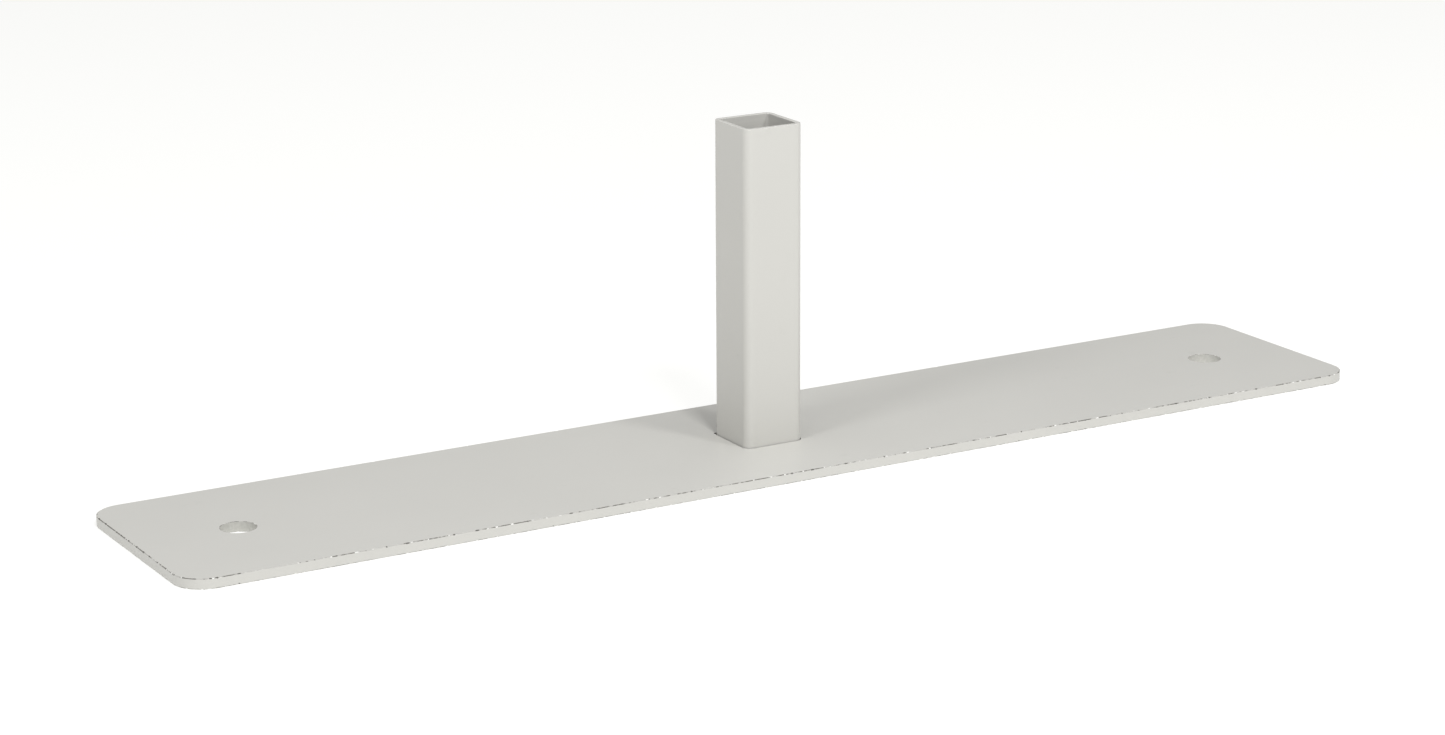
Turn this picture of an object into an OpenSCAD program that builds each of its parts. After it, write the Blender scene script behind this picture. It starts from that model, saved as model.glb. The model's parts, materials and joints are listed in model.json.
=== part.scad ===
// Welded floor foot of a retail security gate or barrier.
// A flat steel plate bolts to the floor. A square tube stands in a cut-out at its centre and takes
// the gate's post. Four weld runs on the underside join the tube to the plate, so the top stays clean.
// Frame: origin at the middle of the plate's underside, +X along the plate, +Z up. Millimetres.

/* [Floor plate] */
// Length of the plate, along X
plate_l = 650; // [400:5:900]
// Width of the plate, along Y
plate_w = 120; // [80:5:200]
// Thickness of the plate
plate_t = 5; // [4:0.5:10]
// Radius of the plate's four corners
plate_corner_r = 15; // [2:1:30]

/* [Floor fixings] */
// Distance from each end of the plate to the centre of its fixing hole
hole_edge = 50; // [20:1:120]
// Diameter of the two fixing holes
hole_d = 17; // [8:0.5:20]

/* [Socket tube] */
// Outside width of the square tube
tube_side = 32; // [20:1:60]
// Wall thickness of the tube
tube_wall = 2.5; // [1.5:0.5:4]
// Radius of the tube's outside corners
tube_corner_r = 4; // [1.5:0.5:6]
// Height of the tube above the top of the plate
tube_rise = 158; // [60:1:400]

/* [Welded joint] */
// Gap between the tube and each side of its cut-out in the plate
cutout_gap = 0.3; // [0.1:0.1:0.8]
// Depth of the weld, up from the underside of the plate to the tube's lower end
weld_t = 3; // [1:0.5:3.5]
// Width of the notch at one corner of the cut-out, where the laser beam starts its cut
notch_d = 2.4; // [1:0.2:3]

/* [Hidden] */
$fn = 96;

// a cut runs this far past the faces that it opens
cut_past = 1;
// smallest radius that the inside of a folded tube corner is drawn with
least_inner_r = 0.5;

powder_grey = "#cfcec9";
weld_grey = "#a9a8a3";

hole_x = plate_l / 2 - hole_edge;
bore_side = tube_side - 2 * tube_wall;
bore_corner_r = max(tube_corner_r - tube_wall, least_inner_r);
cutout_side = tube_side + 2 * cutout_gap;
cutout_corner_r = tube_corner_r + cutout_gap;
tube_top_z = plate_t + tube_rise;
// the notch is centred on the middle of the cut-out's corner arc
notch_at = cutout_side / 2 - cutout_corner_r * (1 - cos(45));

// Flat outline of a rectangle with round corners, centred on the origin
module rounded_outline(length, width, corner_r) {
    square([length - 2 * corner_r, width], center = true);
    square([length, width - 2 * corner_r], center = true);
    for (side_x = [-1, 1], side_y = [-1, 1])
        translate([side_x * (length / 2 - corner_r), side_y * (width / 2 - corner_r)])
            circle(r = corner_r);
}

// Laser-cut plate: two fixing holes on the centre line, and the tube's cut-out with its start notch
module base_plate() {
    color(powder_grey)
        difference() {
            linear_extrude(plate_t) rounded_outline(plate_l, plate_w, plate_corner_r);
            for (side = [-1, 1])
                translate([side * hole_x, 0, -cut_past])
                    cylinder(d = hole_d, h = plate_t + 2 * cut_past);
            translate([0, 0, -cut_past])
                linear_extrude(plate_t + 2 * cut_past)
                    rounded_outline(cutout_side, cutout_side, cutout_corner_r);
            translate([-notch_at, notch_at, -cut_past])
                cylinder(d = notch_d, h = plate_t + 2 * cut_past);
        }
}

// Square tube, open at both ends, let into the plate down to the top of the weld
module socket_tube() {
    color(powder_grey)
        translate([0, 0, weld_t])
            linear_extrude(tube_top_z - weld_t)
                difference() {
                    rounded_outline(tube_side, tube_side, tube_corner_r);
                    rounded_outline(bore_side, bore_side, bore_corner_r);
                }
}

// The groove that the weld fills: below the tube's end, from its bore out to the cut-out's wall
module weld_groove() {
    linear_extrude(weld_t)
        difference() {
            rounded_outline(cutout_side, cutout_side, cutout_corner_r);
            rounded_outline(bore_side, bore_side, bore_corner_r);
        }
}

// One weld run: the quarter of the groove that faces along the given angle, mitred at its ends
module weld_run(facing) {
    reach = cutout_side;
    color(weld_grey)
        intersection() {
            weld_groove();
            rotate([0, 0, facing])
                translate([0, 0, -cut_past])
                    linear_extrude(weld_t + 2 * cut_past)
                        polygon([[0, 0], [reach, -reach], [reach, reach]]);
        }
}

base_plate();
socket_tube();
weld_run(-90);  // weld_run_front
weld_run(90);  // weld_run_back
weld_run(180);  // weld_run_left
weld_run(0);  // weld_run_right
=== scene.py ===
# %% [markdown]
# # Floor foot of a security gate
# A shop's security gate is carried by a foot like this one: a flat steel plate bolted to the floor, with a
# short square tube standing in its middle. The gate's post slides into the tube. The whole foot is
# powder coated in one light warm grey. The measured model already holds every size and place, so this
# file only gives each piece its real surface: rounded arrises, chips, a sawn rim, weld ripples and paint.

# %% Load the measured model
import json
import math
import random

import bmesh
import bpy
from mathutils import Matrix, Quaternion, Vector

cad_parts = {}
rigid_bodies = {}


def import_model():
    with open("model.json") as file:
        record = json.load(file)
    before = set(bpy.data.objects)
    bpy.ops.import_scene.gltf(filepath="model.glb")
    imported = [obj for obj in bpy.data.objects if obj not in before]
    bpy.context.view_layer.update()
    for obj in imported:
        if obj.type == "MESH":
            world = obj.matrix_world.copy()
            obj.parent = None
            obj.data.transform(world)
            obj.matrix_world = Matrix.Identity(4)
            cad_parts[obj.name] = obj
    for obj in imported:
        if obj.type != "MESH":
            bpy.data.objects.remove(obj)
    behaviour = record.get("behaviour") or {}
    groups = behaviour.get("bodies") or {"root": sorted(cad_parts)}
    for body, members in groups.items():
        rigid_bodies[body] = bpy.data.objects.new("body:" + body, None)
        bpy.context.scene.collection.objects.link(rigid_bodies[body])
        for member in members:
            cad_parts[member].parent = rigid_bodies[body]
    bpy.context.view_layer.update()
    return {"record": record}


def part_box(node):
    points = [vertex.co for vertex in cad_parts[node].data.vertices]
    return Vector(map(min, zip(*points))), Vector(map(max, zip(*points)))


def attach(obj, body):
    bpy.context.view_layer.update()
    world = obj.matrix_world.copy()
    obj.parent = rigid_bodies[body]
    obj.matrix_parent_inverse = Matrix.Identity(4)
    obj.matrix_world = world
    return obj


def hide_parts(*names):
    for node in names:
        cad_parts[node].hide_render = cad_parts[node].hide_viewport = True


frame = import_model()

# %% [markdown]
# ## Sizes
# Everything is in metres. Lengths, heights and places are read from the measured model. The few sizes
# that a box can't tell, such as a corner radius, are named here once and used everywhere below.

# %% Name the sizes
MM = 0.001
plate_low, plate_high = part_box("base_plate")
tube_low, tube_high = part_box("socket_tube")
plate_length, plate_width, plate_thickness = plate_high - plate_low
tube_side = tube_high.x - tube_low.x
bolts = next(m["dims"] for m in frame["record"]["mounts"] if m["name"] == "floor_bolts")
bolt_hole_radius = bolts["hole_r_mm"] * MM
bolt_hole_places = [(side * bolts["spacing_x_mm"] / 2 * MM, 0) for side in (-1, 1)]

plate_corner_radius = 15 * MM
tube_corner_radius = 4 * MM
tube_wall = 2.5 * MM
cutout_gap = 0.3 * MM
notch_radius = 1.2 * MM
bore_side = tube_side - 2 * tube_wall
cutout_side = tube_side + 2 * cutout_gap
cutout_corner_radius = tube_corner_radius + cutout_gap
weld_height = tube_low.z - plate_low.z
print("plate:", plate_length, plate_width, plate_thickness, "tube:", tube_side, "weld:", weld_height)

# %% [markdown]
# ## Two helpers for modelling
# An operator works on whatever is selected. Loading leaves the measured pieces selected, so `start` clears
# that first. `pick` then selects faces, edges or points by where they are and which way they face, as
# the mouse would.

# %% Helpers for selecting
def start():
    """Nothing is selected, and no mesh is open."""
    if bpy.context.object and bpy.context.object.mode != "OBJECT":
        bpy.ops.object.mode_set(mode="OBJECT")
    bpy.ops.object.select_all(action="DESELECT")


def pick(kind, test):
    """In edit mode, select each VERT, EDGE or FACE whose middle and direction pass the test."""
    bpy.ops.mesh.select_mode(type=kind)
    bpy.ops.mesh.select_all(action="DESELECT")
    mesh = bmesh.from_edit_mesh(bpy.context.object.data)
    mesh.normal_update()
    if kind == "VERT":
        found = [v for v in mesh.verts if test(v.co, v.normal)]
    elif kind == "EDGE":
        ends = [(e, e.verts[0].co, e.verts[1].co) for e in mesh.edges]
        found = [e for e, a, b in ends if test((a + b) / 2, (b - a).normalized())]
    else:
        found = [f for f in mesh.faces if test(f.calc_center_median(), f.normal)]
    for item in found:
        item.select_set(True)
    mesh.select_flush_mode()
    bmesh.update_edit_mesh(bpy.context.object.data)
    return len(found)


def only(piece):
    """Make one piece the selected and active one."""
    start()
    piece.select_set(True)
    bpy.context.view_layer.objects.active = piece


def near(a, b, within=1e-6):
    return abs(a - b) < within


def is_wall(middle, facing):
    """A face that looks sideways."""
    return abs(facing.z) < 0.1


def is_bevel(middle, facing):
    """A face that looks neither sideways nor straight up or down."""
    return 0.1 < abs(facing.z) < 0.99


print("helpers ready")

# %% [markdown]
# ## Colour and shader helpers
# Colours are written as the familiar sRGB hex values, but a shader works in linear light, so one function
# converts them. A second one adds a node to a material with its settings and its links in one call.

# %% Helpers for materials
def linear(hex_colour):
    """An sRGB hex colour as the linear RGBA that shaders use."""
    parts = [int(hex_colour[i:i + 2], 16) / 255 for i in (1, 3, 5)]
    return [c / 12.92 if c <= 0.04045 else ((c + 0.055) / 1.055) ** 2.4 for c in parts] + [1.0]


def add(tree, kind, inputs=None, **settings):
    """A new node. An input's value is a number, a colour or another node's output to link."""
    made = tree.nodes.new(kind)
    for name, value in settings.items():
        setattr(made, name, value)
    for socket, value in (inputs or {}).items():
        if isinstance(value, bpy.types.NodeSocket):
            tree.links.new(value, made.inputs[socket])
        else:
            made.inputs[socket].default_value = value
    return made


def new_material(name):
    """An empty node material: its tree, and the shader with its output already joined."""
    material = bpy.data.materials.new(name)
    material.use_nodes = True
    tree = material.node_tree
    tree.nodes.clear()
    shader = add(tree, "ShaderNodeBsdfPrincipled")
    add(tree, "ShaderNodeOutputMaterial", {"Surface": shader.outputs["BSDF"]})
    return material, tree, shader


def per_metre(millimetres):
    """A noise scale whose features are about this many millimetres apart."""
    return 1 / (millimetres * MM)


# the Mix node calls several sockets A, so its two colours and its colour result go by number
FIRST, SECOND, MIXED = 6, 7, 2


print("white is", linear("#ffffff"), "and a mid grey is", [round(c, 3) for c in linear("#808080")])

# %% [markdown]
# ## Powder coat
# Polyester powder is sprayed on dry and baked. It flows into an even, semi-matt film about 0.08 mm thick
# that still has the faint ripple called orange peel, 3 mm or so from crest to crest, over a finer grain.
# The ripple is really a few thousandths of a millimetre high. It is drawn about twice as strong,
# so that it just breaks up the gloss. The colour drifts by a percent or two with the film's thickness.

# %% Make the powder coat
COAT_LIGHT = "#cecdc8"
COAT = "#cac9c4"
COAT_THIN = "#b9b9b2"


def coat_bump(tree, place):
    """Orange peel and grain, as one normal."""
    peel = add(tree, "ShaderNodeTexNoise", {"Vector": place, "Scale": per_metre(3.2), "Detail": 1.0})
    grain = add(tree, "ShaderNodeTexNoise", {"Vector": place, "Scale": per_metre(0.9), "Detail": 2.0})
    ripple = add(tree, "ShaderNodeBump", {"Height": peel.outputs["Fac"], "Distance": 0.02 * MM})
    fine = add(tree, "ShaderNodeBump", {
        "Height": grain.outputs["Fac"], "Distance": 0.006 * MM, "Normal": ripple.outputs["Normal"]})
    return fine.outputs["Normal"]


def coat_colour(tree, place):
    """The coat's colour, drifting slowly over the piece, with a few faint smudges."""
    drift = add(tree, "ShaderNodeTexNoise", {"Vector": place, "Scale": per_metre(90), "Detail": 2.0})
    film = add(tree, "ShaderNodeMix", {
        "Factor": drift.outputs["Fac"], FIRST: linear(COAT), SECOND: linear(COAT_LIGHT)}, data_type="RGBA")
    marks = add(tree, "ShaderNodeTexNoise", {"Vector": place, "Scale": per_metre(9), "Detail": 3.0})
    smudge = add(tree, "ShaderNodeMapRange", {
        "Value": marks.outputs["Fac"], "From Min": 0.68, "From Max": 0.82, "To Max": 0.25})
    marked = add(tree, "ShaderNodeMix", {
        "Factor": smudge.outputs["Result"], FIRST: film.outputs[MIXED], SECOND: linear(COAT_THIN)},
        data_type="RGBA")
    return marked.outputs[MIXED]


def coat_gloss(tree, place):
    """Semi-matt, and a little shinier where the film is thick."""
    film = add(tree, "ShaderNodeTexNoise", {"Vector": place, "Scale": per_metre(25), "Detail": 2.0})
    rough = add(tree, "ShaderNodeMapRange", {"Value": film.outputs["Fac"], "To Min": 0.36, "To Max": 0.46})
    return rough.outputs["Result"]


def make_powder_coat():
    material, tree, shader = new_material("powder_coat_polyester")
    place = add(tree, "ShaderNodeTexCoord").outputs["Object"]
    tree.links.new(coat_colour(tree, place), shader.inputs["Base Color"])
    tree.links.new(coat_gloss(tree, place), shader.inputs["Roughness"])
    tree.links.new(coat_bump(tree, place), shader.inputs["Normal"])
    return material


powder_coat = make_powder_coat()
print("made", powder_coat.name, "with", len(powder_coat.node_tree.nodes), "nodes")

# %% [markdown]
# ## The coat over a laser-cut edge
# A laser leaves fine drag lines down the thickness of the plate, under a millimetre apart. The coat softens
# them but they still catch the light. A noise that is squeezed flat along Z runs straight down the edge, and
# because it is solid noise it does so on the sides, the ends and the round corners alike.

# %% Make the coat over a laser-cut edge
def make_cut_edge_coat():
    material, tree, shader = new_material("powder_coat_over_laser_cut_edge")
    place = add(tree, "ShaderNodeTexCoord").outputs["Object"]
    down = add(tree, "ShaderNodeMapping", {"Vector": place, "Scale": (1, 1, 0.07)})
    drag = add(tree, "ShaderNodeTexNoise", {
        "Vector": down.outputs["Vector"], "Scale": per_metre(0.9), "Detail": 3.0, "Roughness": 0.6})
    lines = add(tree, "ShaderNodeBump", {
        "Height": drag.outputs["Fac"], "Distance": 0.05 * MM, "Normal": coat_bump(tree, place)})
    tree.links.new(coat_colour(tree, place), shader.inputs["Base Color"])
    tree.links.new(coat_gloss(tree, place), shader.inputs["Roughness"])
    tree.links.new(lines.outputs["Normal"], shader.inputs["Normal"])
    return material


cut_edge_coat = make_cut_edge_coat()
print("made", cut_edge_coat.name)

# %% [markdown]
# ## Bare steel in the chips
# Where a sharp arris has been knocked, the coat has flaked off and the steel shows. Mild steel from a
# laser is dull and grey-brown with a skin of oxide, so it is drawn as a rough non-metal rather than as a
# bright metal.

# %% Make the bare steel
OXIDE_DARK = "#45433f"
OXIDE_PALE = "#7d7b76"


def make_bare_steel():
    material, tree, shader = new_material("laser_cut_steel_oxide")
    place = add(tree, "ShaderNodeTexCoord").outputs["Object"]
    patch = add(tree, "ShaderNodeTexNoise", {"Vector": place, "Scale": per_metre(0.8), "Detail": 3.0})
    tint = add(tree, "ShaderNodeMix", {
        "Factor": patch.outputs["Fac"], FIRST: linear(OXIDE_DARK), SECOND: linear(OXIDE_PALE)},
        data_type="RGBA")
    pits = add(tree, "ShaderNodeBump", {"Height": patch.outputs["Fac"], "Distance": 0.05 * MM})
    tree.links.new(tint.outputs[MIXED], shader.inputs["Base Color"])
    tree.links.new(pits.outputs["Normal"], shader.inputs["Normal"])
    shader.inputs["Roughness"].default_value = 0.62
    return material


bare_steel = make_bare_steel()
print("made", bare_steel.name)

# %% [markdown]
# ## The worn arris
# Molten powder draws back from a sharp corner, so the film along the arris is thin: short dashes of darker
# steel. The near-white specks between them are a painted highlight, the glint that the round of the arris
# catches, drawn into the colour. A fine noise gives the dashes, and a coarse one makes some stretches barer
# than others. The band is only a third of a millimetre wide, so both read as breaks along it. The left end
# of the foot has been knocked more, so it is barer there.

# %% Make the worn arris
ARRIS_BARE = "#706e68"
# painted highlight: the glint on the arris, drawn as near-white specks in the colour
ARRIS_PAINTED_GLINT = "#ecece8"
knocked_reach = 22 * MM


def make_arris_wear_and_painted_glint():
    material, tree, shader = new_material("powder_coat_thin_on_arris_painted_glint")
    place = add(tree, "ShaderNodeTexCoord").outputs["Object"]
    dashes = add(tree, "ShaderNodeTexNoise", {
        "Vector": place, "Scale": per_metre(3.4), "Detail": 3.0, "Roughness": 0.6})
    stretches = add(tree, "ShaderNodeTexNoise", {"Vector": place, "Scale": per_metre(24), "Detail": 1.0})
    thickness = add(tree, "ShaderNodeMath", {
        0: stretches.outputs["Fac"], 1: 0.5, 2: dashes.outputs["Fac"]}, operation="MULTIPLY_ADD")
    across = add(tree, "ShaderNodeSeparateXYZ", {"Vector": place}).outputs["X"]
    knocked = add(tree, "ShaderNodeMapRange", {
        "Value": across, "From Min": plate_low.x + knocked_reach, "From Max": plate_low.x, "To Max": 0.05})
    left_over = add(tree, "ShaderNodeMath", {
        0: thickness.outputs["Value"], 1: knocked.outputs["Result"]}, operation="SUBTRACT")
    bare = add(tree, "ShaderNodeMapRange", {
        "Value": left_over.outputs["Value"], "From Min": 0.67, "From Max": 0.77,
        "To Min": 1.0, "To Max": 0.25})
    # painted highlight: near-white specks of glint along the arris
    glint_noise = add(tree, "ShaderNodeTexNoise", {"Vector": place, "Scale": per_metre(2.5), "Detail": 1.0})
    painted_glint = add(tree, "ShaderNodeMapRange", {
        "Value": glint_noise.outputs["Fac"], "From Min": 0.58, "From Max": 0.64})
    film = add(tree, "ShaderNodeMix", {
        "Factor": bare.outputs["Result"], FIRST: coat_colour(tree, place), SECOND: linear(ARRIS_BARE)},
        data_type="RGBA")
    film_and_painted_glint = add(tree, "ShaderNodeMix", {
        "Factor": painted_glint.outputs["Result"], FIRST: film.outputs[MIXED], SECOND: linear(ARRIS_PAINTED_GLINT)},
        data_type="RGBA")
    tree.links.new(film_and_painted_glint.outputs[MIXED], shader.inputs["Base Color"])
    tree.links.new(coat_bump(tree, place), shader.inputs["Normal"])
    shader.inputs["Roughness"].default_value = 0.5
    return material


arris_wear_and_painted_glint = make_arris_wear_and_painted_glint()
print("made", arris_wear_and_painted_glint.name)

# %% [markdown]
# ## The coat inside the fixing holes
# The wall is drawn darker than the plate's coat: painted shade for the inside of the hole, mixed with
# the coat by a sandy grain.

# %% Make the coat inside the holes
# painted shade: the darker wall colour inside the fixing holes
HOLE_PAINTED_SHADE = "#a8a8a1"


def make_hole_wall_painted_shade():
    material, tree, shader = new_material("powder_coat_with_painted_shade_in_hole")
    place = add(tree, "ShaderNodeTexCoord").outputs["Object"]
    sand = add(tree, "ShaderNodeTexNoise", {"Vector": place, "Scale": per_metre(1.2), "Detail": 3.0})
    film = add(tree, "ShaderNodeMix", {
        "Factor": sand.outputs["Fac"], FIRST: linear(HOLE_PAINTED_SHADE), SECOND: linear(COAT)},
        data_type="RGBA")
    grain = add(tree, "ShaderNodeBump", {"Height": sand.outputs["Fac"], "Distance": 0.04 * MM})
    tree.links.new(film.outputs[MIXED], shader.inputs["Base Color"])
    tree.links.new(grain.outputs["Normal"], shader.inputs["Normal"])
    shader.inputs["Roughness"].default_value = 0.55
    return material


hole_wall_painted_shade = make_hole_wall_painted_shade()
print("made", hole_wall_painted_shade.name)

# %% [markdown]
# ## The coat inside the bore
# Charged powder clings to the first edges that it meets, so it reaches only about one bore width down a
# tube. The coat is whole at the rim, thins in level streaks below it, and gives way to dusty grey steel.

# %% Make the coat inside the bore
BORE_STEEL = "#6f6e69"


def make_bore_coat():
    material, tree, shader = new_material("powder_coat_thinning_in_bore")
    place = add(tree, "ShaderNodeTexCoord").outputs["Object"]
    level = add(tree, "ShaderNodeMapping", {"Vector": place, "Scale": (0.08, 0.08, 1)})
    streak = add(tree, "ShaderNodeTexNoise", {
        "Vector": level.outputs["Vector"], "Scale": per_metre(2.2), "Detail": 2.0})
    height = add(tree, "ShaderNodeSeparateXYZ", {"Vector": place}).outputs["Z"]
    uneven = add(tree, "ShaderNodeMath", {0: streak.outputs["Fac"], 1: 14 * MM, 2: height},
                 operation="MULTIPLY_ADD")
    cover = add(tree, "ShaderNodeMapRange", {
        "Value": uneven.outputs["Value"], "From Min": tube_high.z - 2 * bore_side,
        "From Max": tube_high.z + 6 * MM})
    film = add(tree, "ShaderNodeMix", {
        "Factor": cover.outputs["Result"], FIRST: linear(BORE_STEEL), SECOND: coat_colour(tree, place)},
        data_type="RGBA")
    tree.links.new(film.outputs[MIXED], shader.inputs["Base Color"])
    tree.links.new(coat_bump(tree, place), shader.inputs["Normal"])
    shader.inputs["Roughness"].default_value = 0.5
    return material


bore_coat = make_bore_coat()
print("made", bore_coat.name)

# %% [markdown]
# ## The coat over the welds
# The weld is shiny filler metal at first, but it is dressed and then coated with everything else. Only its
# relief tells it from the plate, with a slightly duller film where spatter and smoke were left.

# %% Make the coat over the welds
COAT_ON_WELD = "#b4b4ad"


def make_weld_coat():
    material, tree, shader = new_material("powder_coat_over_weld_bead")
    place = add(tree, "ShaderNodeTexCoord").outputs["Object"]
    soot = add(tree, "ShaderNodeTexNoise", {"Vector": place, "Scale": per_metre(4), "Detail": 3.0})
    tint = add(tree, "ShaderNodeMix", {
        "Factor": soot.outputs["Fac"], FIRST: linear(COAT_ON_WELD), SECOND: coat_colour(tree, place)},
        data_type="RGBA")
    pores = add(tree, "ShaderNodeBump", {"Height": soot.outputs["Fac"], "Distance": 0.1 * MM})
    tree.links.new(tint.outputs[MIXED], shader.inputs["Base Color"])
    tree.links.new(pores.outputs["Normal"], shader.inputs["Normal"])
    shader.inputs["Roughness"].default_value = 0.45
    return material


weld_coat = make_weld_coat()
print("made", weld_coat.name)

# %% [markdown]
# ## The plate's body
# The real plate is cut from flat sheet by a laser, so its outline comes first and its thickness second. A
# plane is scaled to the plate's length and width, its four corner points are bevelled into arcs, and
# the outline is extruded up. The laser leaves the arrises sharp, and the coat rounds them only slightly,
# so the long bevel round the top and the bottom is a third of a millimetre.

# %% Shape the plate's body
arris_width = 0.35 * MM


def round_plate(name, length, width, corner_radius, segments, low_z):
    """A flat face with round corners, open in edit mode."""
    start()
    bpy.ops.mesh.primitive_plane_add(size=1, location=(0, 0, 0))
    piece = bpy.context.object
    piece.name = piece.data.name = name
    bpy.ops.object.mode_set(mode="EDIT")
    bpy.ops.transform.resize(value=(length, width, 1), center_override=(0, 0, 0))
    bpy.ops.transform.translate(value=(0, 0, low_z))
    bpy.ops.mesh.bevel(offset=corner_radius, segments=segments, affect="VERTICES", profile=0.5)
    return piece


def extrude_up(rise):
    """Pull the whole flat outline up into a block."""
    bpy.ops.mesh.select_all(action="SELECT")
    bpy.ops.mesh.extrude_region_move(TRANSFORM_OT_translate={"value": (0, 0, rise)})
    bpy.ops.mesh.select_all(action="SELECT")
    bpy.ops.mesh.normals_make_consistent(inside=False)


def paint(piece, material, test=None):
    """Give the faces that pass a test a material, or the whole piece if there is no test."""
    piece.data.materials.append(material)
    if test:
        pick("FACE", test)
        piece.active_material_index = len(piece.data.materials) - 1
        bpy.ops.object.material_slot_assign()


plate = round_plate("plate", plate_length, plate_width, plate_corner_radius, 16, plate_low.z)
extrude_up(plate_thickness)
paint(plate, powder_coat)
paint(plate, cut_edge_coat, is_wall)
rims = pick("EDGE", lambda middle, along: abs(along.z) < 0.1)
bpy.ops.mesh.bevel(offset=arris_width, segments=2, affect="EDGES", profile=0.5, material=-1)
# the arris bevels take the thin, worn coat and its painted glints
paint(plate, arris_wear_and_painted_glint, is_bevel)
bpy.ops.object.mode_set(mode="OBJECT")
print("plate body:", rims, "rim edges bevelled,", len(plate.data.polygons), "faces")

# %% [markdown]
# ## The holes and the tube's cut-out
# Each opening is cut by a solid of its own shape, as a punch would, with the Boolean modifier. The punch is
# built up from its outline in stations: it is a little wider at both faces of the plate, which leaves the
# coat's small round on the rim of the hole. The faces of a punch pass their material to the cut that
# they make. So the fixing holes come out with painted shade on their walls and a worn rim with painted
# glints, and the cut-out and the notch where the laser started it come out as bare oxide, because no
# powder reaches down beside the tube.

# %% Cut the openings
rim_flare = 0.15 * MM
past = 2 * MM  # how far a punch stands out of the plate at each face
hole_points = 72
notch_points = 24


def build_punch(half_width, centre, wall_finish, rim_finish):
    """From a flat outline open in edit mode, raise a punch that flares at both faces of the plate."""
    wide = (half_width + rim_flare) / half_width
    stations = [
        (past, 1), (rim_flare, 1 / wide), (plate_thickness - 2 * rim_flare, 1), (rim_flare, wide), (past, 1)]
    for rise, grow in stations:
        bpy.ops.mesh.extrude_region_move(TRANSFORM_OT_translate={"value": (0, 0, rise)})
        bpy.ops.transform.resize(value=(grow, grow, 1), center_override=(*centre, 0))
    bpy.ops.mesh.select_all(action="SELECT")
    bpy.ops.mesh.normals_make_consistent(inside=False)
    punch = bpy.context.object
    paint(punch, wall_finish)
    paint(punch, rim_finish, is_bevel)
    bpy.ops.object.mode_set(mode="OBJECT")
    return punch


def cut(piece, punch):
    """Take the punch's shape out of the piece, and throw the punch away."""
    only(piece)
    step = piece.modifiers.new("cut", "BOOLEAN")
    step.operation = "DIFFERENCE"
    step.solver = "EXACT"
    step.material_mode = "TRANSFER"
    step.object = punch
    bpy.ops.object.modifier_apply(modifier=step.name)
    bpy.data.objects.remove(punch)


def round_outline(radius, centre, points):
    """A filled circle below the plate, open in edit mode."""
    start()
    bpy.ops.mesh.primitive_circle_add(
        vertices=points, radius=radius, fill_type="NGON", location=(*centre, plate_low.z - past))
    bpy.ops.object.transform_apply(location=True)
    bpy.ops.object.mode_set(mode="EDIT")


# the fixing holes' walls take the painted shade, and their rims the worn arris with its painted glints
for centre in bolt_hole_places:
    round_outline(bolt_hole_radius + rim_flare, centre, hole_points)
    cut(plate, build_punch(bolt_hole_radius, centre, hole_wall_painted_shade, arris_wear_and_painted_glint))

round_plate("cutout_punch", cutout_side + 2 * rim_flare, cutout_side + 2 * rim_flare,
            cutout_corner_radius + rim_flare, 10, plate_low.z - past)
cut(plate, build_punch(cutout_side / 2, (0, 0), bare_steel, bare_steel))

notch_out = cutout_side / 2 - cutout_corner_radius * (1 - math.cos(math.radians(45)))
notch_place = (-notch_out, notch_out)
round_outline(notch_radius + rim_flare, notch_place, notch_points)
cut(plate, build_punch(notch_radius, notch_place, bare_steel, bare_steel))
print("plate with openings:", len(plate.data.polygons), "faces")

# %% [markdown]
# ## Chips along the arris
# Feet like this are stacked and dragged, and the knocks show on the arris: small bites, closest together at
# the left end. One rough little lump is modelled, copied all along the rim, and cut from the plate in one
# go. The cut faces take the lump's bare steel. A walk round the rim gives each copy its place, and a fixed
# seed gives the same chips every time.

# %% Chip the arris
straight_x = plate_length - 2 * plate_corner_radius
straight_y = plate_width - 2 * plate_corner_radius
quarter = math.pi / 2 * plate_corner_radius
rim_length = 2 * straight_x + 2 * straight_y + 4 * quarter
left_end = rim_length - plate_width - 0.5 * plate_corner_radius
front_spacing = 22 * MM
back_spacing = 30 * MM
left_spacing = 5 * MM
underside_spacing = 70 * MM
chip_lengths = (0.6, 0.8, 1.1, 1.5, 2.2)
shallowest_chip = 0.9 * MM
deepest_chip = 1.6 * MM


def rim_walk(distance):
    """A point on the plate's outline and the direction there, this far round it from the front left."""
    x, y, turned = -straight_x / 2, -plate_width / 2, 0.0
    for side in (straight_x, straight_y, straight_x, straight_y):
        along = min(distance, side)
        x, y = x + along * math.cos(turned), y + along * math.sin(turned)
        distance -= along
        if distance <= 0:
            break
        arc = min(distance, quarter) / plate_corner_radius
        x += plate_corner_radius * (math.sin(turned + arc) - math.sin(turned))
        y -= plate_corner_radius * (math.cos(turned + arc) - math.cos(turned))
        distance -= arc * plate_corner_radius
        turned += arc
        if distance <= 0:
            break
    return x, y, turned


def make_lump():
    """A faceted pebble, one metre across, ready to be scaled down."""
    start()
    bpy.ops.mesh.primitive_ico_sphere_add(subdivisions=2, radius=0.5, location=(0, 0, 0))
    lump = bpy.context.object
    bpy.ops.object.mode_set(mode="EDIT")
    bpy.ops.transform.vertex_random(offset=0.09, seed=3)
    paint(lump, bare_steel)
    bpy.ops.object.mode_set(mode="OBJECT")
    return lump


def place_copy(piece, x, y, z, turned, size):
    """A copy with its own mesh, sized, turned about Z and set down, with all that baked in."""
    only(piece)
    bpy.ops.object.duplicate(linked=False)
    made = bpy.context.object
    made.scale, made.rotation_euler, made.location = size, (0, 0, turned), (x, y, z)
    bpy.ops.object.transform_apply(location=True, rotation=True, scale=True)
    return made


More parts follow.
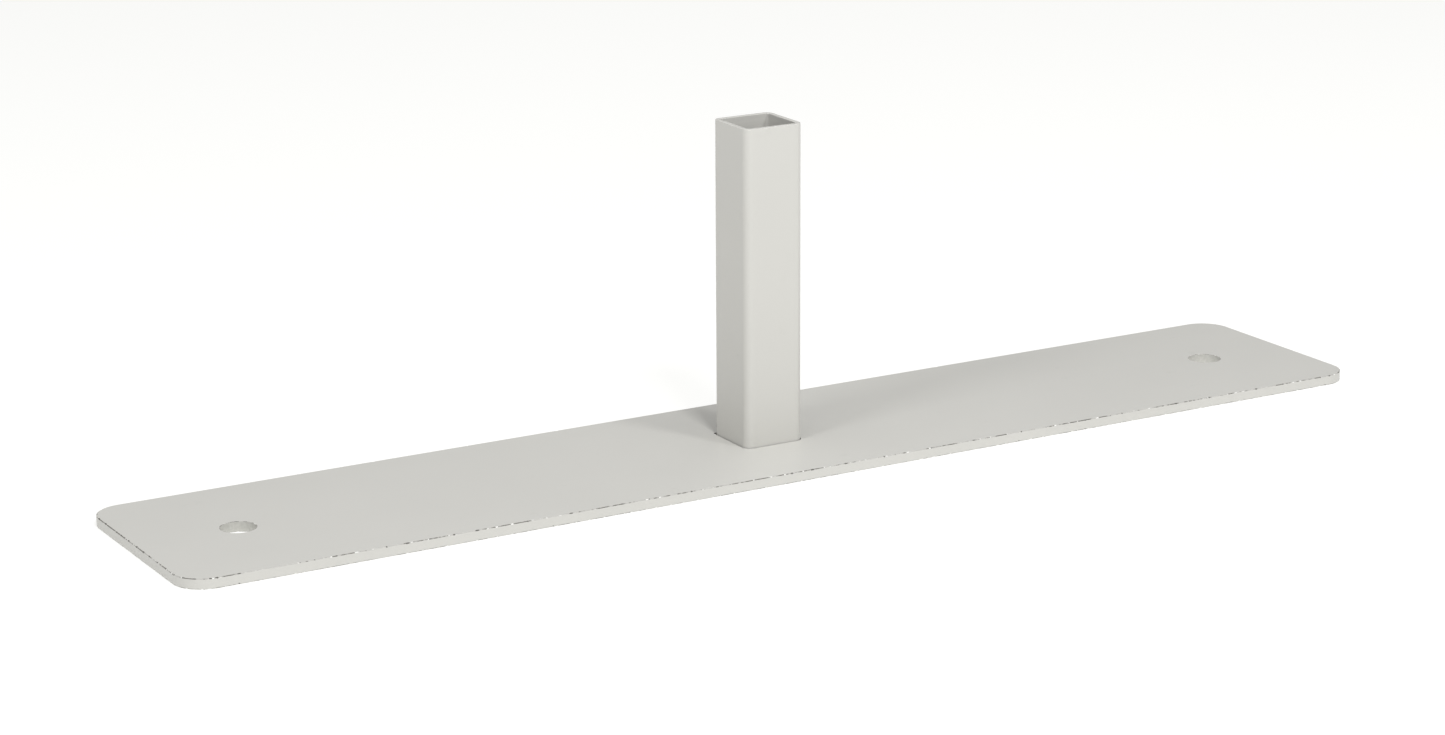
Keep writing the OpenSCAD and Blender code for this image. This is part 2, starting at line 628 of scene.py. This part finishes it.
def chip_run(lump, chance, first, last, spacing, z):
    """Copies of the lump along one stretch of the rim, about this far apart."""
    made = []
    distance = first
    while distance < last:
        x, y, turned = rim_walk(distance)
        length = chance.choice(chip_lengths) * MM
        depth = chance.uniform(shallowest_chip, deepest_chip)
        made.append(place_copy(lump, x, y, z, turned, (length, depth, depth * chance.uniform(0.6, 1.0))))
        distance += length + spacing * chance.uniform(0.35, 1.65)
    return made


chance = random.Random(7)
lump = make_lump()
chips = chip_run(lump, chance, 0, straight_x, front_spacing, plate_high.z)
chips += chip_run(lump, chance, straight_x, left_end, back_spacing, plate_high.z)
chips += chip_run(lump, chance, left_end, rim_length - 2 * MM, left_spacing, plate_high.z)
chips += chip_run(lump, chance, 10 * MM, rim_length - 10 * MM, underside_spacing, plate_low.z)
chip_count = len(chips)
bpy.data.objects.remove(lump)
start()
for chip in chips:
    chip.select_set(True)
bpy.context.view_layer.objects.active = chips[0]
bpy.ops.object.join()
cut(plate, bpy.context.object)
print("chips cut:", chip_count, "- plate now has", len(plate.data.polygons), "faces")

# %% [markdown]
# ## Even shading
# Smooth shading blends each face with its neighbours, which would make the big flat faces look pillowed
# near their round corners. The Weighted Normal modifier lets the large faces keep their own direction, so
# only the small bevel faces blend.

# %% Shade the plate
def shade(piece, angle=40):
    """Smooth the rounds, keep the flats flat."""
    only(piece)
    bpy.ops.object.shade_smooth_by_angle(angle=math.radians(angle))
    even = piece.modifiers.new("even", "WEIGHTED_NORMAL")
    even.weight = 100
    even.keep_sharp = True
    bpy.ops.object.modifier_apply(modifier=even.name)


shade(plate)
print("plate shaded")

# %% [markdown]
# ## The socket tube
# The real tube is strip that is rolled square and welded along one wall, then sawn to length. Its corners
# are round because steel can't be folded sharp. The outline is extruded to the tube's height, its ends
# are opened, and the Solidify modifier gives it its wall from the outside inwards, which also
# makes the inside corners tighter than the outside ones, as folding does.

# %% Shape the tube
rim_round = 0.3 * MM
tube_height = tube_high.z - tube_low.z


def make_wall(name, side, corner_radius, segments, low_z, height, wall):
    """A square ring with round corners: an open outline, raised and given its wall inwards."""
    ring = round_plate(name, side, side, corner_radius, segments, low_z)
    extrude_up(height)
    pick("FACE", lambda middle, facing: abs(facing.z) > 0.9)
    bpy.ops.mesh.delete(type="ONLY_FACE")
    bpy.ops.object.mode_set(mode="OBJECT")
    thick = ring.modifiers.new("wall", "SOLIDIFY")
    thick.thickness = wall
    thick.offset = -1
    thick.use_even_offset = True
    bpy.ops.object.modifier_apply(modifier=thick.name)
    return ring


tube = make_wall("tube", tube_side, tube_corner_radius, 12, tube_low.z, tube_height, tube_wall)
bpy.ops.object.mode_set(mode="EDIT")
pick("FACE", lambda middle, facing: facing.z > 0.9)
bpy.ops.mesh.region_to_loop()
bpy.ops.mesh.bevel(offset=rim_round, segments=3, affect="EDGES", profile=0.5)
paint(tube, powder_coat)
paint(tube, bore_coat, lambda middle, facing: is_wall(middle, facing) and middle.xy.dot(facing.xy) < 0)
bpy.ops.object.mode_set(mode="OBJECT")
print("tube:", len(tube.data.polygons), "faces")

# %% [markdown]
# ## The tube's seam
# Inside a rolled tube a low, narrow bead runs the whole length, where the two edges of the strip were
# welded. The outside of the seam is planed flush in the mill, and the inside is left. The inner wall on the
# left is cut lengthwise by bisecting planes, and the middle line is pushed into the bore.

# %% Raise the seam
seam_width = 1.6 * MM
seam_height = 0.25 * MM
only(tube)
bpy.ops.object.mode_set(mode="EDIT")


def on_left_inner_wall(middle, facing):
    return facing.x > 0.99 and near(middle.x, -bore_side / 2, 1e-5)


for offset in (-0.5, 0, 0.5):
    pick("FACE", on_left_inner_wall)
    bpy.ops.mesh.bisect(plane_co=(0, offset * seam_width, 0), plane_no=(0, 1, 0))
crest = pick("EDGE", lambda middle, along: abs(along.z) > 0.99 and near(middle.y, 0, 1e-5)
             and near(middle.x, -bore_side / 2, 1e-5))
bpy.ops.transform.translate(value=(seam_height, 0, 0))
bpy.ops.object.mode_set(mode="OBJECT")
shade(tube)
print("seam crest edges:", crest, "- tube has", len(tube.data.polygons), "faces")

# %% [markdown]
# ## The weld runs
# The welder turns the foot over and lays one run along each wall of the tube, in the groove between the
# tube's sawn end and the plate. The runs are dressed flush so that the plate sits flat, but the ripples that
# the torch leaves can still be seen. One run is a quarter of a square ring, cut off at 45 degrees where
# the next run starts. It is divided finely along its length, and a Displace modifier with a banded
# texture presses the ripples into its underside.

# %% Lay the weld runs
ripple_depth = 0.45 * MM
ripple_size = 2.5 * MM
cuts_along = 71
cuts_across = 5


def make_weld_run():
    """The front run, along the tube's front wall."""
    run = make_wall("weld_front", cutout_side, cutout_corner_radius, 8, plate_low.z, weld_height,
                    tube_wall + cutout_gap)
    bpy.ops.object.mode_set(mode="EDIT")
    for lean in (-1, 1):
        bpy.ops.mesh.select_all(action="SELECT")
        bpy.ops.mesh.bisect(plane_co=(0, 0, 0), plane_no=(lean, 1, 0), use_fill=True, clear_outer=True)
    pick("EDGE", lambda middle, along: abs(along.x) > 0.999)
    bpy.ops.mesh.subdivide(number_cuts=cuts_along)
    pick("EDGE", lambda middle, along: abs(along.y) > 0.999)
    bpy.ops.mesh.subdivide(number_cuts=cuts_across)
    under = pick("VERT", lambda place, facing: near(place.z, plate_low.z, 1e-6))
    run.vertex_groups.new(name="underside")
    bpy.ops.object.vertex_group_assign()
    bpy.ops.object.mode_set(mode="OBJECT")
    bands = bpy.data.textures.new("weld_ripples", "WOOD")
    bands.wood_type = "BANDNOISE"
    bands.noise_scale = ripple_size
    bands.turbulence = 6
    ripples = run.modifiers.new("ripples", "DISPLACE")
    ripples.texture = bands
    ripples.texture_coords = "LOCAL"
    ripples.direction = "Z"
    ripples.mid_level = 0
    ripples.strength = ripple_depth
    ripples.vertex_group = "underside"
    bpy.ops.object.modifier_apply(modifier=ripples.name)
    paint(run, weld_coat)
    shade(run, 60)
    return run, under


weld_front, ripple_points = make_weld_run()
weld_runs = {"weld_run_front": weld_front}
for node, turned in (("weld_run_right", 90), ("weld_run_back", 180), ("weld_run_left", 270)):
    weld_runs[node] = place_copy(weld_front, 0, 0, 0, math.radians(turned), (1, 1, 1))
    weld_runs[node].name = weld_runs[node].data.name = node.replace("_run", "")
print("weld runs:", len(weld_runs), "with", ripple_points, "points on the underside of each")

# %% [markdown]
# ## Hand the pieces over
# Each piece rides on the one rigid body and stands in for its measured part, which is hidden. The finish
# it wears is printed beside it.

# %% Tie the pieces to the measured model
stands_for = {"base_plate": (plate, "powder_coat"), "socket_tube": (tube, "powder_coat")}
for node, run in weld_runs.items():
    stands_for[node] = (run, "coated_weld")
for node, (piece, finish) in stands_for.items():
    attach(piece, "root")
    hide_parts(node)
    print(piece.name, "stands for", node, "in", finish)

# %% [markdown]
# ## Floor
# A plain white floor, wide enough to fill every view. It is a product table: a translucent sheet that is
# lit from below, so that it stays white under the foot and seen through the holes. It is set a hair
# below the plate, because two faces in exactly the same place flicker.

# %% Lay the floor
FLOOR_SHEET = "#959594"
FLOOR_LIGHT = "#fffffd"
floor_glow = 0.74
floor_size = 80
floor_height = plate_low.z - 0.02 * MM


def make_floor():
    start()
    bpy.ops.mesh.primitive_plane_add(size=floor_size, location=(0, 0, floor_height))
    floor = bpy.context.object
    floor.name = floor.data.name = "floor"
    material, tree, shader = new_material("backlit_table_sheet")
    shader.inputs["Base Color"].default_value = linear(FLOOR_SHEET)
    shader.inputs["Roughness"].default_value = 0.9
    shader.inputs["Specular IOR Level"].default_value = 0.1
    shader.inputs["Emission Color"].default_value = linear(FLOOR_LIGHT)
    shader.inputs["Emission Strength"].default_value = floor_glow
    floor.data.materials.append(material)
    return floor


floor = make_floor()
print("floor laid at", round(floor_height, 6))

# %% [markdown]
# ## Light
# A product studio: a dim, even room, and four softboxes that model the form. The large one far to the left
# throws the long shadow along the plate, the one at the front right throws the shadow behind the tube,
# the one over the camera lights the tube's front, and the widest hangs overhead and fills the plate's top
# evenly. Each is an area light aimed at the foot.

# %% Hang the softboxes
middle_of_foot = Vector((0, 0, plate_high.z))


def direction(azimuth, elevation):
    """From the foot outwards. Azimuth 0 is the front, and grows to the right."""
    a, e = math.radians(azimuth), math.radians(elevation)
    return Vector((math.sin(a) * math.cos(e), -math.cos(a) * math.cos(e), math.sin(e)))


def softbox(name, azimuth, elevation, distance, size, power):
    """A square area light, in metres and watts, that looks at the foot."""
    lamp = bpy.data.lights.new(name, "AREA")
    lamp.shape = "SQUARE"
    lamp.size = size
    lamp.energy = power
    holder = bpy.data.objects.new(name, lamp)
    bpy.context.scene.collection.objects.link(holder)
    outwards = direction(azimuth, elevation)
    holder.location = middle_of_foot + outwards * distance
    holder.rotation_mode = "QUATERNION"
    holder.rotation_quaternion = (-outwards).to_track_quat("-Z", "Y")
    return holder


softbox("softbox_left", azimuth=-73, elevation=35, distance=4.0, size=0.95, power=32)
softbox("softbox_front", azimuth=-12, elevation=50, distance=2.5, size=0.45, power=24.5)
softbox("softbox_right", azimuth=22, elevation=40, distance=2.5, size=0.35, power=13.5)
softbox("softbox_top", azimuth=0, elevation=89, distance=3.0, size=2.5, power=32)

room_strength = 0.25
room = bpy.data.worlds.new("dim_room")
room.use_nodes = True
room.node_tree.nodes["Background"].inputs["Color"].default_value = linear("#ffffff")
room.node_tree.nodes["Background"].inputs["Strength"].default_value = room_strength
bpy.context.scene.world = room
bpy.context.scene.view_settings.view_transform = "Standard"

# %% [markdown]
# ## Camera
# The foot is seen from the front left and a little above, through a long lens from about 1.7 metres, which
# keeps the plate's edges nearly parallel. The camera points a little above the plate and to its left, so
# that the tall tube and the long plate share the frame evenly.

# %% Place the camera
camera_azimuth = -30.25
camera_elevation = 15.74
camera_roll = -0.26
camera_distance = 1.742
lens = 88.3
aim_left = 17.6 * MM
aim_up = 33.8 * MM

camera = bpy.data.objects.new("camera", bpy.data.cameras.new("camera"))
bpy.context.scene.collection.objects.link(camera)
backwards = direction(camera_azimuth, camera_elevation)
level = (-backwards).to_track_quat("-Z", "Y")
camera.rotation_mode = "QUATERNION"
camera.rotation_quaternion = level @ Quaternion((0, 0, 1), math.radians(camera_roll))
aim = middle_of_foot + camera.rotation_quaternion @ Vector((-aim_left, aim_up, 0))
camera.location = aim + backwards * camera_distance
camera.data.lens = lens
camera.data.sensor_width = 36
bpy.context.scene.camera = camera
print("camera at", [round(c, 3) for c in camera.location])
